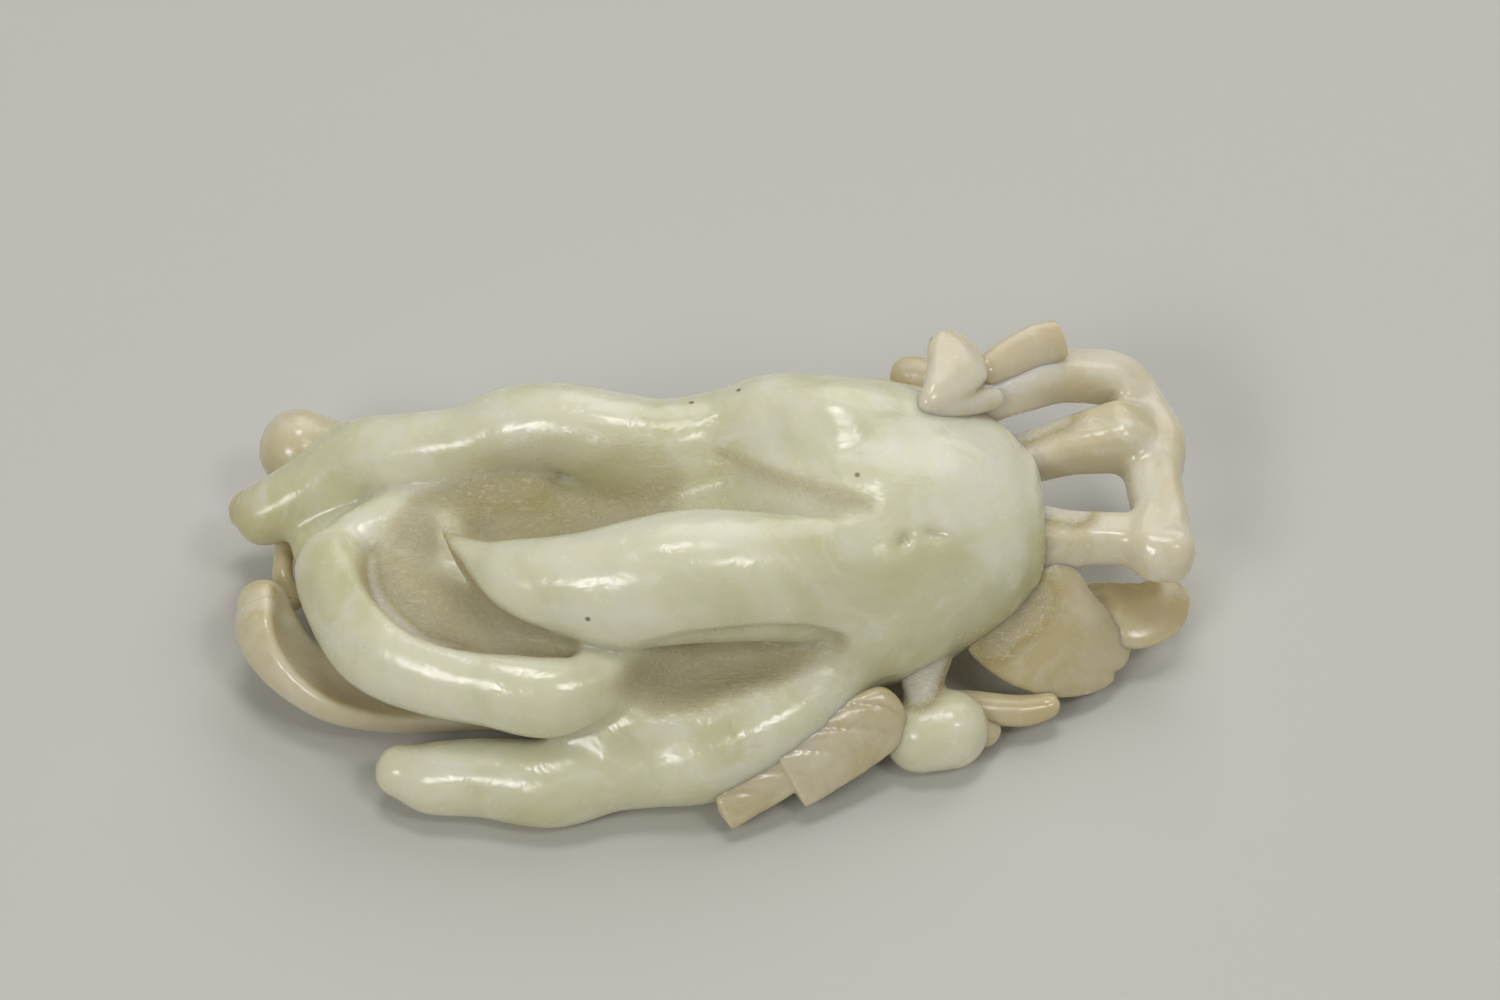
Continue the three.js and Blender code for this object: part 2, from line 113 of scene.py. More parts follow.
def smooth_line(values, steps):
    """A centripetal Catmull-Rom line through the rows, with so many steps from row to row."""
    values = np.asarray(values, float)
    ends = np.vstack([2 * values[0] - values[1], values, 2 * values[-1] - values[-2]])
    w = (np.arange(steps) / steps)[:, None]
    made = []
    for i in range(len(values) - 1):
        p0, p1, p2, p3 = ends[i:i + 4]
        d0, d1, d2 = [max(np.dot(gap, gap), 1e-12) ** 0.25 for gap in (p1 - p0, p2 - p1, p3 - p2)]
        t1 = ((p1 - p0) / d0 - (p2 - p0) / (d0 + d1) + (p2 - p1) / d1) * d1
        t2 = ((p2 - p1) / d1 - (p3 - p1) / (d1 + d2) + (p3 - p2) / d2) * d1
        square = 3 * (p2 - p1) - 2 * t1 - t2
        cube = 2 * (p1 - p2) + t1 + t2
        made.append(p1 + t1 * w + square * w ** 2 + cube * w ** 3)
    return np.vstack([*made, values[-1:]])


LIMB_STEPS = 12
END_STEPS = 9
END_FIRST_ANGLE = 0.02


def limb_line(places, radii, start=1.0, end=1.0):
    """Places and radii along a limb, with a quarter round added at each end."""
    line = smooth_line(places, LIMB_STEPS)
    girth = smooth_line(np.c_[radii, radii, np.zeros(len(radii))], LIMB_STEPS)[:, 0]
    turn = np.linspace(END_FIRST_ANGLE, np.pi / 2, END_STEPS)[:-1]
    first, last = line[0] - line[1], line[-1] - line[-2]
    first, last = first / np.linalg.norm(first), last / np.linalg.norm(last)
    before = line[0] + first * (np.cos(turn) * girth[0] * start)[:, None]
    after = line[-1] + last * (np.cos(turn) * girth[-1] * end)[:, None]
    return (np.vstack([before, line, after[::-1]]),
            np.r_[np.sin(turn) * girth[0], girth, (np.sin(turn) * girth[-1])[::-1]])


def add(tree, kind, inputs=(), **settings):
    """Adds a node, with its settings, and with a value or a link for each named input."""
    made = tree.nodes.new(kind)
    for key, value in settings.items():
        setattr(made, key, value)
    for key, value in dict(inputs).items():
        socket = made.inputs[key]
        if isinstance(value, bpy.types.NodeSocket):
            tree.links.new(value, socket)
        else:
            socket.default_value = value
    return made


def math(tree, operation, *values):
    """Adds a math node and gives its result."""
    return add(tree, "ShaderNodeMath", dict(enumerate(values)), operation=operation).outputs[0]


# The rule that every limb follows: a section drawn along a line, its size taken from the line.
limb_tree = bpy.data.node_groups.new("carved limb", "GeometryNodeTree")
limb_tree.interface.new_socket("Line", in_out="INPUT", socket_type="NodeSocketGeometry")
limb_inputs = {}
for socket_name, socket_kind, socket_value in (
        ("Ring spacing", "NodeSocketFloat", 0.5), ("Sides", "NodeSocketInt", 48),
        ("Height to width", "NodeSocketFloat", 1.0), ("Section power", "NodeSocketFloat", 1.0),
        ("Stone", "NodeSocketMaterial", None)):
    socket = limb_tree.interface.new_socket(socket_name, in_out="INPUT", socket_type=socket_kind)
    if socket_value is not None:
        socket.default_value = socket_value
    limb_inputs[socket_name] = socket.identifier
limb_tree.interface.new_socket("Limb", in_out="OUTPUT", socket_type="NodeSocketGeometry")
entry = limb_tree.nodes.new("NodeGroupInput").outputs
line = add(limb_tree, "GeometryNodeResampleCurve",
           {"Curve": entry["Line"], "Length": entry["Ring spacing"]}, mode="LENGTH")
line = add(limb_tree, "GeometryNodeSetCurveNormal", {"Curve": line.outputs[0]}, mode="Z_UP")
ring = add(limb_tree, "GeometryNodeCurvePrimitiveCircle", {"Resolution": entry["Sides"], "Radius": 1.0})
# A power below one squares the round section, as the carver leaves the flats of a bar.
place = add(limb_tree, "GeometryNodeInputPosition").outputs[0]
parts = add(limb_tree, "ShaderNodeSeparateXYZ", {0: place}).outputs
squared = []
for axis in (0, 1):
    size = math(limb_tree, "POWER", math(limb_tree, "ABSOLUTE", parts[axis]), entry["Section power"])
    squared.append(math(limb_tree, "MULTIPLY", size, math(limb_tree, "SIGN", parts[axis])))
squash = math(limb_tree, "MULTIPLY", squared[1], entry["Height to width"])
section = add(limb_tree, "ShaderNodeCombineXYZ", {"X": squared[0], "Y": squash})
ring = add(limb_tree, "GeometryNodeSetPosition",
           {"Geometry": ring.outputs[0], "Position": section.outputs[0]})
radius = add(limb_tree, "GeometryNodeInputRadius")
skin = add(limb_tree, "GeometryNodeCurveToMesh",
           {"Curve": line.outputs[0], "Profile Curve": ring.outputs[0], "Scale": radius.outputs[0],
            "Fill Caps": True})
skin = add(limb_tree, "GeometryNodeRealizeInstances", {"Geometry": skin.outputs[0]})
skin = add(limb_tree, "GeometryNodeSetMaterial",
           {"Geometry": skin.outputs[0], "Material": entry["Stone"]})
add(limb_tree, "NodeGroupOutput", {0: skin.outputs[0]})


def limb(places, radii, start=1.0, end=1.0, **inputs):
    """The closed skin of one limb in millimetres: its points, and its faces as triangles."""
    points, girth = limb_line(places, radii, start, end)
    curve = bpy.data.curves.new("limb line", "CURVE")
    curve.dimensions = "3D"
    spline = curve.splines.new("POLY")
    spline.points.add(len(points) - 1)
    spline.points.foreach_set("co", np.c_[points, np.ones(len(points))].ravel())
    spline.points.foreach_set("radius", girth)
    holder = bpy.data.objects.new("limb line", curve)
    bpy.context.collection.objects.link(holder)
    modifier = holder.modifiers.new("carved limb", "NODES")
    modifier.node_group = limb_tree
    for key, value in inputs.items():
        modifier[limb_inputs[key.replace("_", " ").capitalize()]] = value
    graph = bpy.context.evaluated_depsgraph_get()
    mesh = bpy.data.meshes.new_from_object(holder.evaluated_get(graph))
    mesh.calc_loop_triangles()
    corners = np.empty(len(mesh.vertices) * 3, np.float32)
    mesh.vertices.foreach_get("co", corners)
    faces = np.empty(len(mesh.loop_triangles) * 3, np.int32)
    mesh.loop_triangles.foreach_get("vertices", faces)
    bpy.data.objects.remove(holder)
    bpy.data.curves.remove(curve)
    bpy.data.meshes.remove(mesh)
    return corners.reshape(-1, 3), faces.reshape(-1, 3).astype(np.uint32)


WHEEL_SIDES = 32


def bar(rows):
    """A round limb from rows of along, across, up and radius in millimetres, to add or to grind away."""
    return limb([r[:3] for r in rows], [r[3] for r in rows], sides=WHEEL_SIDES)


def rows_limb(rows, radius, **inputs):
    return limb([place_of(r) for r in rows], [r[3] * radius for r in rows], **inputs)


def limb_beside(rows, offset, radius):
    """A limb that follows another one's rows at an offset, both sizes growing with its half width."""
    return limb([np.add(place_of(r), np.multiply(offset, r[3])) for r in rows],
                [radius * r[3] for r in rows])


# How far, in millimetres, polish and matt reach past the edge of what was added or ground away.
POLISH_FADE = 0.8
GROUND_FADE = 0.6
FROST_FADE = 1.2


class Stone:
    """A block of stone, as distances in millimetres to the cut surface, below zero inside it.

    Matt is 0 on polished stone and 1 on a floor that the wheel left, and above 1 it is bruised white.
    """

    def __init__(self, low, high, step, reach=5.0):
        self.step, self.reach = step, reach
        self.low = np.floor(np.array(low) / step).astype(int)
        self.shape = tuple(np.ceil(np.array(high) / step).astype(int) - self.low)
        self.field = np.full(self.shape, reach, np.float32)
        self.matt = np.zeros(self.shape, np.float32)

    def distance(self, skin):
        grid = openvdb.FloatGrid.createLevelSetFromPolygons(
            skin[0].astype(np.float32), triangles=skin[1],
            transform=openvdb.createLinearTransform(self.step), halfWidth=self.reach / self.step)
        field = np.full(self.shape, self.reach, np.float32)
        grid.copyToArray(field, ijk=tuple(int(i) for i in self.low))
        return field

    def join(self, skin, blend):
        """Adds polished stone, with a fillet about as wide as blend where it meets the rest."""
        other = self.distance(skin)
        w = np.clip(0.5 + 0.5 * (other - self.field) / blend, 0, 1)
        self.field = other * (1 - w) + self.field * w - blend * w * (1 - w)
        self.matt *= np.clip(other / POLISH_FADE, 0, 1)

    def keep(self, other, blend):
        """Keeps the stone that lies inside another distance too, with a rounded edge."""
        w = np.clip(0.5 - 0.5 * (other - self.field) / blend, 0, 1)
        self.field = other * (1 - w) + self.field * w + blend * w * (1 - w)

    def cut(self, skin, blend, matt=0.0):
        """Grinds stone away. The floor of the cut keeps so much of the wheel's matt."""
        other = -self.distance(skin)
        self.keep(other, blend)
        if matt:
            self.matt = np.maximum(self.matt, matt * np.clip(1.2 + other / GROUND_FADE, 0, 1))

    def frost(self, skin, matt):
        """Leaves the wheel's matt on the stone that lies inside a skin."""
        inside = np.clip(0.5 - self.distance(skin) / FROST_FADE, 0, 1)
        self.matt = np.maximum(self.matt, matt * inside)

    def flatten(self, blend, height=0.0):
        """Rubs the underside flat at a height."""
        up = (self.low[2] + np.arange(self.shape[2])) * self.step
        self.keep(np.broadcast_to((height - up).astype(np.float32), self.shape), blend)

    def blurred(self, field, width):
        """A Gaussian mean over a width in millimetres."""
        sigma = width / self.step
        half = int(np.ceil(2.5 * sigma))
        taps = np.arange(-half, half + 1)
        weights = np.exp(-0.5 * (taps / sigma) ** 2)
        weights /= weights.sum()
        for axis in range(3):
            margin = [(half, half) if a == axis else (0, 0) for a in range(3)]
            padded = np.pad(field, margin, "edge")
            total = np.zeros_like(field)
            for i, weight in enumerate(weights):
                part = [slice(None)] * 3
                part[axis] = slice(i, i + field.shape[axis])
                total += np.float32(weight) * padded[tuple(part)]
            field = total
        return field

    def sample(self, field, points):
        """The values of a field at points, taken from the eight grid places round each."""
        place = points / self.step - self.low
        base = np.clip(np.floor(place).astype(int), 0, np.array(self.shape) - 2)
        part = np.clip(place - base, 0, 1)
        total = 0
        for dx, dy, dz in np.ndindex(2, 2, 2):
            share = (np.abs(1 - dx - part[:, 0]) * np.abs(1 - dy - part[:, 1])
                     * np.abs(1 - dz - part[:, 2]))
            total = total + share * field[base[:, 0] + dx, base[:, 1] + dy, base[:, 2] + dz]
        return total


def largest_body(points, quads):
    """The points and faces of the largest connected body, without stray crumbs of stone."""
    label = np.arange(len(points))
    while True:
        lowest = label[quads].min(axis=1)
        before = label.copy()
        np.minimum.at(label, quads.ravel(), np.repeat(lowest, 4))
        label = label[label]
        if (label == before).all():
            break
    kept = label == np.bincount(label).argmax()
    quads = quads[kept[quads[:, 0]]]
    renumber = np.cumsum(kept) - 1
    return points[kept], renumber[quads]


RELAX_FORTH = 0.5
RELAX_BACK = -0.51


def relaxed(points, quads, rounds):
    """The surface relaxed forth and back, so that the block's steps don't show in the polish."""
    a, b = quads.ravel(), np.roll(quads, -1, axis=1).ravel()
    count = np.bincount(a, minlength=len(points))[:, None]
    for share in (RELAX_FORTH, RELAX_BACK) * rounds:
        mean = np.stack([np.bincount(a, points[b, k], len(points)) for k in range(3)], axis=1) / count
        points = points + (mean - points) * share
    return points


# Widths and a depth in millimetres: how closely each reading looks at the stone.
HOLLOW_WIDTH = 0.9
THIN_WIDTH = 3.2
THIN_DEPTH = 2.4
MATT_WIDTH = 0.5


def stone_piece(stone, name, rounds=8):
    """The cut surface as a plain mesh with three readings of it: hollow, thin and matt."""
    grid = openvdb.FloatGrid(stone.reach)
    grid.transform = openvdb.createLinearTransform(stone.step)
    grid.copyFromArray(stone.field, ijk=tuple(int(i) for i in stone.low))
    points, quads = grid.convertToQuads()
    points, quads = largest_body(points.astype(float), quads.astype(np.int64))
    points = relaxed(points, quads, rounds)
    p = points[quads]
    turn = np.cross(p[:, 2] - p[:, 0], p[:, 3] - p[:, 1])
    if (turn * p.mean(axis=1)).sum() < 0:
        quads = quads[:, ::-1]
    soft = stone.blurred(stone.field, HOLLOW_WIDTH)
    bulk = stone.blurred((stone.field < 0).astype(np.float32), THIN_WIDTH)
    slope = np.stack([stone.sample(g, points) for g in np.gradient(stone.field)], axis=1)
    slope /= np.linalg.norm(slope, axis=1)[:, None] + 1e-9
    readings = {
        "hollow": -stone.sample(soft, points) / HOLLOW_WIDTH,
        "thin": 1 - stone.sample(bulk, points - slope * THIN_DEPTH),
        "matt": stone.sample(stone.blurred(stone.matt, MATT_WIDTH), points),
    }
    mesh = bpy.data.meshes.new("carved_" + name)
    mesh.from_pydata(((points + shift) * METRES_PER_MM).tolist(), [], quads.tolist())
    mesh.shade_smooth()
    for key, values in readings.items():
        mesh.attributes.new(key, "FLOAT", "POINT").data.foreach_set("value", values.astype(np.float32))
    piece = bpy.data.objects.new("carved_" + name, mesh)
    bpy.context.collection.objects.link(piece)
    print(name, len(quads) * 2, "triangles")
    return piece


body_places = [(r[0] * CARVING_LENGTH, r[1] * CARVING_WIDTH, r[2] * FRUIT_HALF_HEIGHT - REST_DEPTH)
               for r in fruit_body_rows]
body_radii = [r[3] * FRUIT_HALF_WIDTH for r in fruit_body_rows]
body_skin = limb(body_places, body_radii, end=FRUIT_END_LENGTH / body_radii[-1],
                 height_to_width=FRUIT_HALF_HEIGHT / FRUIT_HALF_WIDTH)

# The carved model's frame has its origin under the middle of the whole carving, so places in
# millimetres are shifted to it by setting the body where the frame has it.
body_low, body_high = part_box("fruit_body")
body_corners = body_skin[0]
body_middle = (body_low[1] + body_high[1]) / 2 * MM_PER_METRE
shift = np.array([body_high[0] * MM_PER_METRE - body_corners[:, 0].max(),
                  body_middle - (body_corners[:, 1].min() + body_corners[:, 1].max()) / 2, 0])

fruit = Stone(low=(-56, -29, -2), high=(38, 27, 34), step=0.42)
fruit.join(body_skin, blend=0.5)
fruit.join(rows_limb(centre_finger_rows, CENTRE_FINGER_RADIUS), blend=3.0)
# A narrower ridge rides on the centre finger, so its top is flatter than a round bar.
fruit.join(limb_beside(centre_finger_rows[2:8], (0, 0, RIDGE_RISE), RIDGE_RADIUS), blend=2.0)
fruit.join(rows_limb(palm_rows, PALM_HALF_WIDTH, height_to_width=PALM_HALF_HEIGHT / PALM_HALF_WIDTH),
           blend=1.5)
# The long hollow between the far and the centre finger: nearly polished at its root, then deep and matt.
fruit.cut(bar([
    (-8, 0.3, 26.2, 5.6), (-3, 0.2, 27.3, 5.2), (0.2, -0.2, 27.9, 4.9), (3.7, -1.8, 28.5, 4.0),
    (7.5, -3.1, 29.0, 3.0), (12.1, -4.1, 29.4, 2.1), (17, -5.1, 29.8, 1.3),
]), blend=0.8, matt=0.15)
fruit.cut(bar([
    (-31.5, 3.4, 21.6, 2.4), (-27, 2, 22.5, 4.4), (-22, 1.6, 23.4, 5.6), (-17, 1.5, 24.5, 6.2),
    (-12, 0.6, 25.2, 6.0), (-8, 0.3, 26.2, 5.6),
]), blend=0.5, matt=1.0)
fruit.join(rows_limb(far_finger_rows, FAR_FINGER_RADIUS), blend=2.8)
# A matt step of stone along the foot of the far finger, on the hollow's far side.
fruit.join(bar([
    (-35, 5.4, 16.6, 2.4), (-31, 5.8, 17.4, 2.8), (-26, 6.2, 18.4, 2.8), (-20, 6.4, 19.2, 2.6),
]), blend=2.0)
fruit.frost(bar([(-31.5, 4.0, 20.0, 1.6), (-26, 4.6, 20.4, 2.6), (-20, 4.8, 21.4, 2.6)]), matt=1.0)
# Stone that fills the pebble under the trough, and the curled finger above it.
fruit.join(bar([
    (-14, -18.7, 8.8, 3.0), (-8, -18, 10.2, 4.0), (-2, -15.6, 10.6, 4.4), (5, -12.6, 10.8, 4.4),
    (11, -10, 11, 4.0),
]), blend=1.5)
fruit.join(rows_limb(curled_finger_rows, CURLED_FINGER_RADIUS), blend=0.8)
# The tips of the centre and the curled finger run together over the hollow's end.
fruit.join(bar([
    (-29.5, 1.6, 17.6, 2.6), (-32.5, 3.2, 16.0, 3.2), (-35.5, 4.4, 15.0, 3.3), (-39, 5.0, 13.8, 3.0),
    (-43.5, 5.2, 11.8, 2.6),
]), blend=3.0)
# The floor of the bowl inside the curled finger, in two runs side by side.
fruit.join(bar([
    (-37.0, 0, 13.9, 3.9), (-32.5, -3.5, 13.9, 4.2), (-27, -8, 13.8, 4.6), (-20, -11.5, 14.2, 4.6),
    (-12, -13.8, 14.4, 4.0),
]), blend=2.0)
fruit.join(bar([
    (-34.5, -6, 13.6, 3.6), (-29, -12, 14.0, 3.6), (-23.5, -14, 14.8, 3.3), (-17.5, -14.8, 15.0, 2.8),
]), blend=2.0)
# The bowl itself, which runs on as the groove beside the centre finger.
fruit.cut(bar([
    (-32.0, 3.4, 22.6, 2.2), (-32.6, 0.6, 21.9, 3.4), (-32.9, -2.8, 21.2, 4.4), (-32.0, -6.6, 20.6, 5.0),
    (-29.7, -9.8, 20.3, 5.0), (-26.8, -12.2, 20.0, 4.2), (-23.8, -13.8, 19.6, 3.1), (-20, -14.8, 19.1, 2.1),
    (-15.5, -15.6, 18.5, 1.2),
]), blend=1.0, matt=1.0)
# The matt trough where the curled finger sinks between the centre and the near finger.
fruit.cut(bar([
    (-8.6, -21.2, 17.6, 2.2), (-6, -19.2, 17.2, 3.6), (-2.5, -16.8, 17.1, 4.4), (1, -15.1, 17.2, 4.5),
    (5, -14.3, 17.3, 4.2), (9, -13.9, 17.2, 3.1), (12, -14.2, 16.9, 1.7),
]), blend=1.6, matt=1.0)
# The centre finger's lower flank closes the trough, and the near finger bounds it.
fruit.join(limb_beside(centre_finger_rows[3:], (0, -FLANK_DROP, -FLANK_DROP), FLANK_RADIUS), blend=0.7)
fruit.join(rows_limb(near_finger_rows, NEAR_FINGER_RADIUS), blend=2.0)
# Two short crescents engraved on the shoulder of the fruit.
fruit.cut(bar([(19.2, -8.1, 26.2, 0.7), (19.9, -7.3, 26.5, 1.1), (21.0, -6.4, 26.8, 0.7)]), blend=0.15)
fruit.cut(bar([(21.5, -6.7, 26.65, 0.7), (22.9, -6.0, 26.3, 1.1), (25.0, -5.7, 25.35, 0.7)]), blend=0.15)
# A chipped line where the scoop meets the far finger's root.
fruit.cut(bar([
    (0.5, 5.0, 27.0, 0.7), (3.6, 2.3, 27.7, 0.9), (7.0, -0.4, 28.5, 0.9), (11.5, -2.7, 28.8, 0.8),
    (16.4, -4.5, 28.7, 0.5),
]), blend=0.3, matt=0.8)
# The coarse white band that the tool left round the inner rim of the bowl and on the finger's edge.
fruit.frost(limb([(-36.4, -0.4, 18.7), (-35.9, -4.6, 18.4), (-34.5, -7.9, 17.1), (-31.9, -10.6, 16.3),
                  (-28.7, -12.3, 16.2), (-26.0, -13.1, 16.2)], [0.9, 1.4, 1.5, 1.4, 1.1, 0.7]), matt=1.7)
fruit.frost(limb([(-29.9, -2.2, 23.2), (-27.5, -3.0, 23.5), (-24.0, -4.0, 24.2)], [0.9, 1.2, 0.8]),
            matt=1.6)
fruit.flatten(blend=0.3)
citron = stone_piece(fruit, "citron_fruit")

# Polished nephrite: pale celadon-white, waxy, light sinks in a few millimetres and comes back soft.
MILKY_WISP = "eeece0"
RUST = "b08c4a"
MAGNETITE = "6b5a3c"
# Brown of old dirt and wax, also painted into the creases as their shade.
CREASE_DIRT_AND_SHADE = "8c7f58"
# The dull brown of ground stone, darkened further as painted shade of the recess floors.
GROUND_STONE_AND_SHADE = "a69350"
STONE_GRAIN = "e8e0c8"
BRUISED_STONE = "f0ece0"
POLISHED_ROUGHNESS = 0.22
GROUND_ROUGHNESS = 0.58


def linear(hex_colour):
    """An sRGB hex value as linear red, green, blue and a full alpha."""
    parts = [int(hex_colour[i:i + 2], 16) / 255 for i in (0, 2, 4)]
    return [p / 12.92 if p <= 0.04045 else ((p + 0.055) / 1.055) ** 2.4 for p in parts] + [1.0]


def mm(size):
    """The scale of a pattern whose features are so many millimetres apart."""
    return MM_PER_METRE / size


def nephrite(name, pale, deep, warm, thin_from, thin_glow_share):
    """Nephrite from its pale and deeper tint, and a brown painted as light glowing through thin stone."""
    stone = bpy.data.materials.new(name)
    stone.use_nodes = True
    tree = stone.node_tree
    shader = tree.nodes["Principled BSDF"]
    place = add(tree, "ShaderNodeTexCoord").outputs["Object"]

    def noise(size, detail=3.0, rough=0.5, bend=0.0, vector=place):
        return add(tree, "ShaderNodeTexNoise", {"Vector": vector, "Scale": mm(size), "Detail": detail,
                                                "Roughness": rough, "Distortion": bend}).outputs["Fac"]

    def ramp(value, low, high, start=0.0, end=1.0):
        return add(tree, "ShaderNodeMapRange", {"Value": value, "From Min": low, "From Max": high,
                                                "To Min": start, "To Max": end}).outputs["Result"]

    def times(one, other):
        return math(tree, "MULTIPLY", one, other)

    def mixed(share, one, other):
        return add(tree, "ShaderNodeMix", {"Factor": share, "A": one, "B": linear(other)},
                   data_type="RGBA").outputs["Result"]

    def reading(key):
        return add(tree, "ShaderNodeAttribute", attribute_name=key).outputs["Fac"]

    thin, hollow, matt = reading("thin"), reading("hollow"), reading("matt")
    # Clouds of a deeper tint some two centimetres across, and milky wisps of less than one.
    cloud = ramp(noise(24, detail=4, rough=0.55, bend=0.8), 0.38, 0.66)
    colour = mixed(cloud, linear(pale), deep)
    wisp = ramp(noise(9, detail=3, rough=0.55, bend=1.6), 0.48, 0.7, start=0, end=0.5)
    colour = mixed(wisp, colour, MILKY_WISP)
    # Where little stone lies behind the surface, a warm brown is painted as light glowing through it.
    colour = mixed(ramp(thin, thin_from, 1, start=0, end=thin_glow_share), colour, warm)
    # Rust has crept along a few healed cracks, and here and there sits a dark grain of magnetite.
    crack = math(tree, "SUBTRACT", noise(30, detail=5, rough=0.55, bend=0.6), 0.5)
    crack = ramp(math(tree, "ABSOLUTE", crack), 0.0, 0.008, start=1, end=0)
    rusted = ramp(noise(17, detail=2), 0.6, 0.7, start=0, end=0.35)
    colour = mixed(times(crack, rusted), colour, RUST)
    cells = add(tree, "ShaderNodeTexVoronoi", {"Vector": place, "Scale": mm(7.5)}).outputs["Distance"]
    colour = mixed(ramp(cells, 0.025, 0.05, start=0.8, end=0), colour, MAGNETITE)
    # Creases and hollows are darkened in patches: partly old dirt and wax, partly painted shade.
    patchy = ramp(noise(3.2, detail=4, rough=0.6), 0.35, 0.62, start=0.35, end=1)
    dirt_and_shade = times(ramp(hollow, 0.1, 0.7), patchy)
    colour = mixed(times(dirt_and_shade, 0.6), colour, CREASE_DIRT_AND_SHADE)
    # The wheel's floor is painted darker and browner: partly the dull ground stone, partly painted shade in
    # the recesses. Pale grains are drawn out along the carving, and bruises are white.
    colour = mixed(ramp(matt, 0, 1, start=0, end=0.65), colour, GROUND_STONE_AND_SHADE)
    drawn = add(tree, "ShaderNodeMapping", {"Vector": place, "Scale": (0.22, 1.0, 1.0)}).outputs[0]
    streaks = ramp(noise(0.5, detail=4, rough=0.65, vector=drawn), 0.52, 0.66)
    specks = ramp(noise(0.5, detail=3, rough=0.6), 0.52, 0.64)
    grains = math(tree, "MAXIMUM", specks, streaks)
    colour = mixed(times(times(matt, grains), 0.5), colour, STONE_GRAIN)
    colour = mixed(ramp(matt, 1.0, 1.5, start=0, end=0.65), colour, BRUISED_STONE)
    tree.links.new(colour, shader.inputs["Base Color"])
    smear = ramp(noise(1.6, detail=4, rough=0.6), 0.3, 0.7, start=-0.05, end=0.07)
    roughness = math(tree, "ADD", ramp(matt, 0, 1, POLISHED_ROUGHNESS, GROUND_ROUGHNESS), smear)
    tree.links.new(roughness, shader.inputs["Roughness"])
    # The hand of the polisher: a slow waver of the surface that breaks up every highlight.
    swell = add(tree, "ShaderNodeBump", {"Height": noise(5.0, detail=3, bend=0.5), "Strength": 0.3,
                                         "Distance": 0.001})
    tooth = add(tree, "ShaderNodeBump", {"Height": times(ramp(matt, 0, 1), grains), "Strength": 0.7,
                                         "Distance": 0.00025, "Normal": swell.outputs[0]})
    tree.links.new(tooth.outputs[0], shader.inputs["Normal"])
    shader.inputs["IOR"].default_value = 1.61
    shader.inputs["Subsurface Weight"].default_value = 0.85
    shader.inputs["Subsurface Radius"].default_value = (1.0, 0.88, 0.6)
    shader.inputs["Subsurface Scale"].default_value = 0.0032
    return stone


pale_jade = nephrite("polished pale nephrite", pale="eae8cf", deep="cfcda0", warm="c0aa72",
                     thin_from=0.5, thin_glow_share=0.45)
citron.data.materials.append(pale_jade)
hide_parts("fruit_body", "palm", "centre_finger", "far_finger", "curled_finger", "near_finger")
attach(citron, "root")


# THE UNDER FINGERS. Three more fingers of the same fruit, left lower in the pebble and thinner, so they
# show more of the painted glow of thin stone and look warmer. The near one is hollowed along its inner
# side into a crescent with a sharp ridge.
UNDER_NEAR_RADIUS = 4.2
UNDER_FAR_RADIUS = 4.4
UNDER_MIDDLE_RADIUS = 3.6
under_near_rows = [
    (-0.465, -0.022, 0.306, 0.703), (-0.456, -0.083, 0.279, 0.868), (-0.423, -0.15, 0.226, 0.861),
    (-0.38, -0.18, 0.193, 0.97), (-0.318, -0.186, 0.162, 0.969), (-0.257, -0.178, 0.155, 0.952),
    (-0.176, -0.159, 0.15, 1.061), (-0.08, -0.086, 0.207, 1.092),
]
under_far_rows = [
    (-0.442, 0.377, 0.39, 1.031), (-0.397, 0.381, 0.33, 0.926), (-0.33, 0.382, 0.245, 0.994),
    (-0.25, 0.379, 0.148, 1.049), (-0.164, 0.339, 0.139, 1.1), (-0.05, 0.259, 0.219, 1.1),
]
under_middle_rows = [
    (-0.494, 0.263, 0.283, 0.636), (-0.44, 0.249, 0.249, 0.905), (-0.37, 0.2, 0.179, 1.047),
    (-0.29, 0.15, 0.12, 1.099), (-0.2, 0.12, 0.14, 1.1),
]
warm_jade = nephrite("softly polished warm nephrite", pale="e6ddc4", deep="d0c69f", warm="bfa874",
                     thin_from=0.5, thin_glow_share=0.45)


def finish_piece(piece, material, slot, *nodes):
    """Gives a piece its stone and the nodes it shows, and lets it ride on the carving. Slot is not used."""
    piece.data.materials.append(material)
    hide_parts(*nodes)
    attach(piece, "root")


under_near = Stone(low=(-54, -17, -1), high=(-1, 6, 15), step=0.3, reach=4.0)
under_near.join(rows_limb(under_near_rows, UNDER_NEAR_RADIUS), blend=0.5)
under_near.cut(bar([
    (-45.2, 1.2, 12.8, 2.0), (-44.6, -2.6, 12.4, 2.9), (-42.8, -6.4, 12.2, 4.4), (-39.5, -9.3, 12.4, 6.0),
    (-34, -10.5, 12.6, 7.4), (-28, -10.5, 12.6, 7.6),
]), blend=1.0)
under_near.flatten(blend=0.3)
finish_piece(stone_piece(under_near, "under_near_finger"), warm_jade, "warm_jade", "under_near_finger")

under_far = Stone(low=(-53, 6, -1), high=(2, 27, 20), step=0.36, reach=4.0)
under_far.join(rows_limb(under_far_rows, UNDER_FAR_RADIUS), blend=0.5)
under_far.flatten(blend=0.3)
finish_piece(stone_piece(under_far, "under_far_finger"), warm_jade, "warm_jade", "under_far_finger")

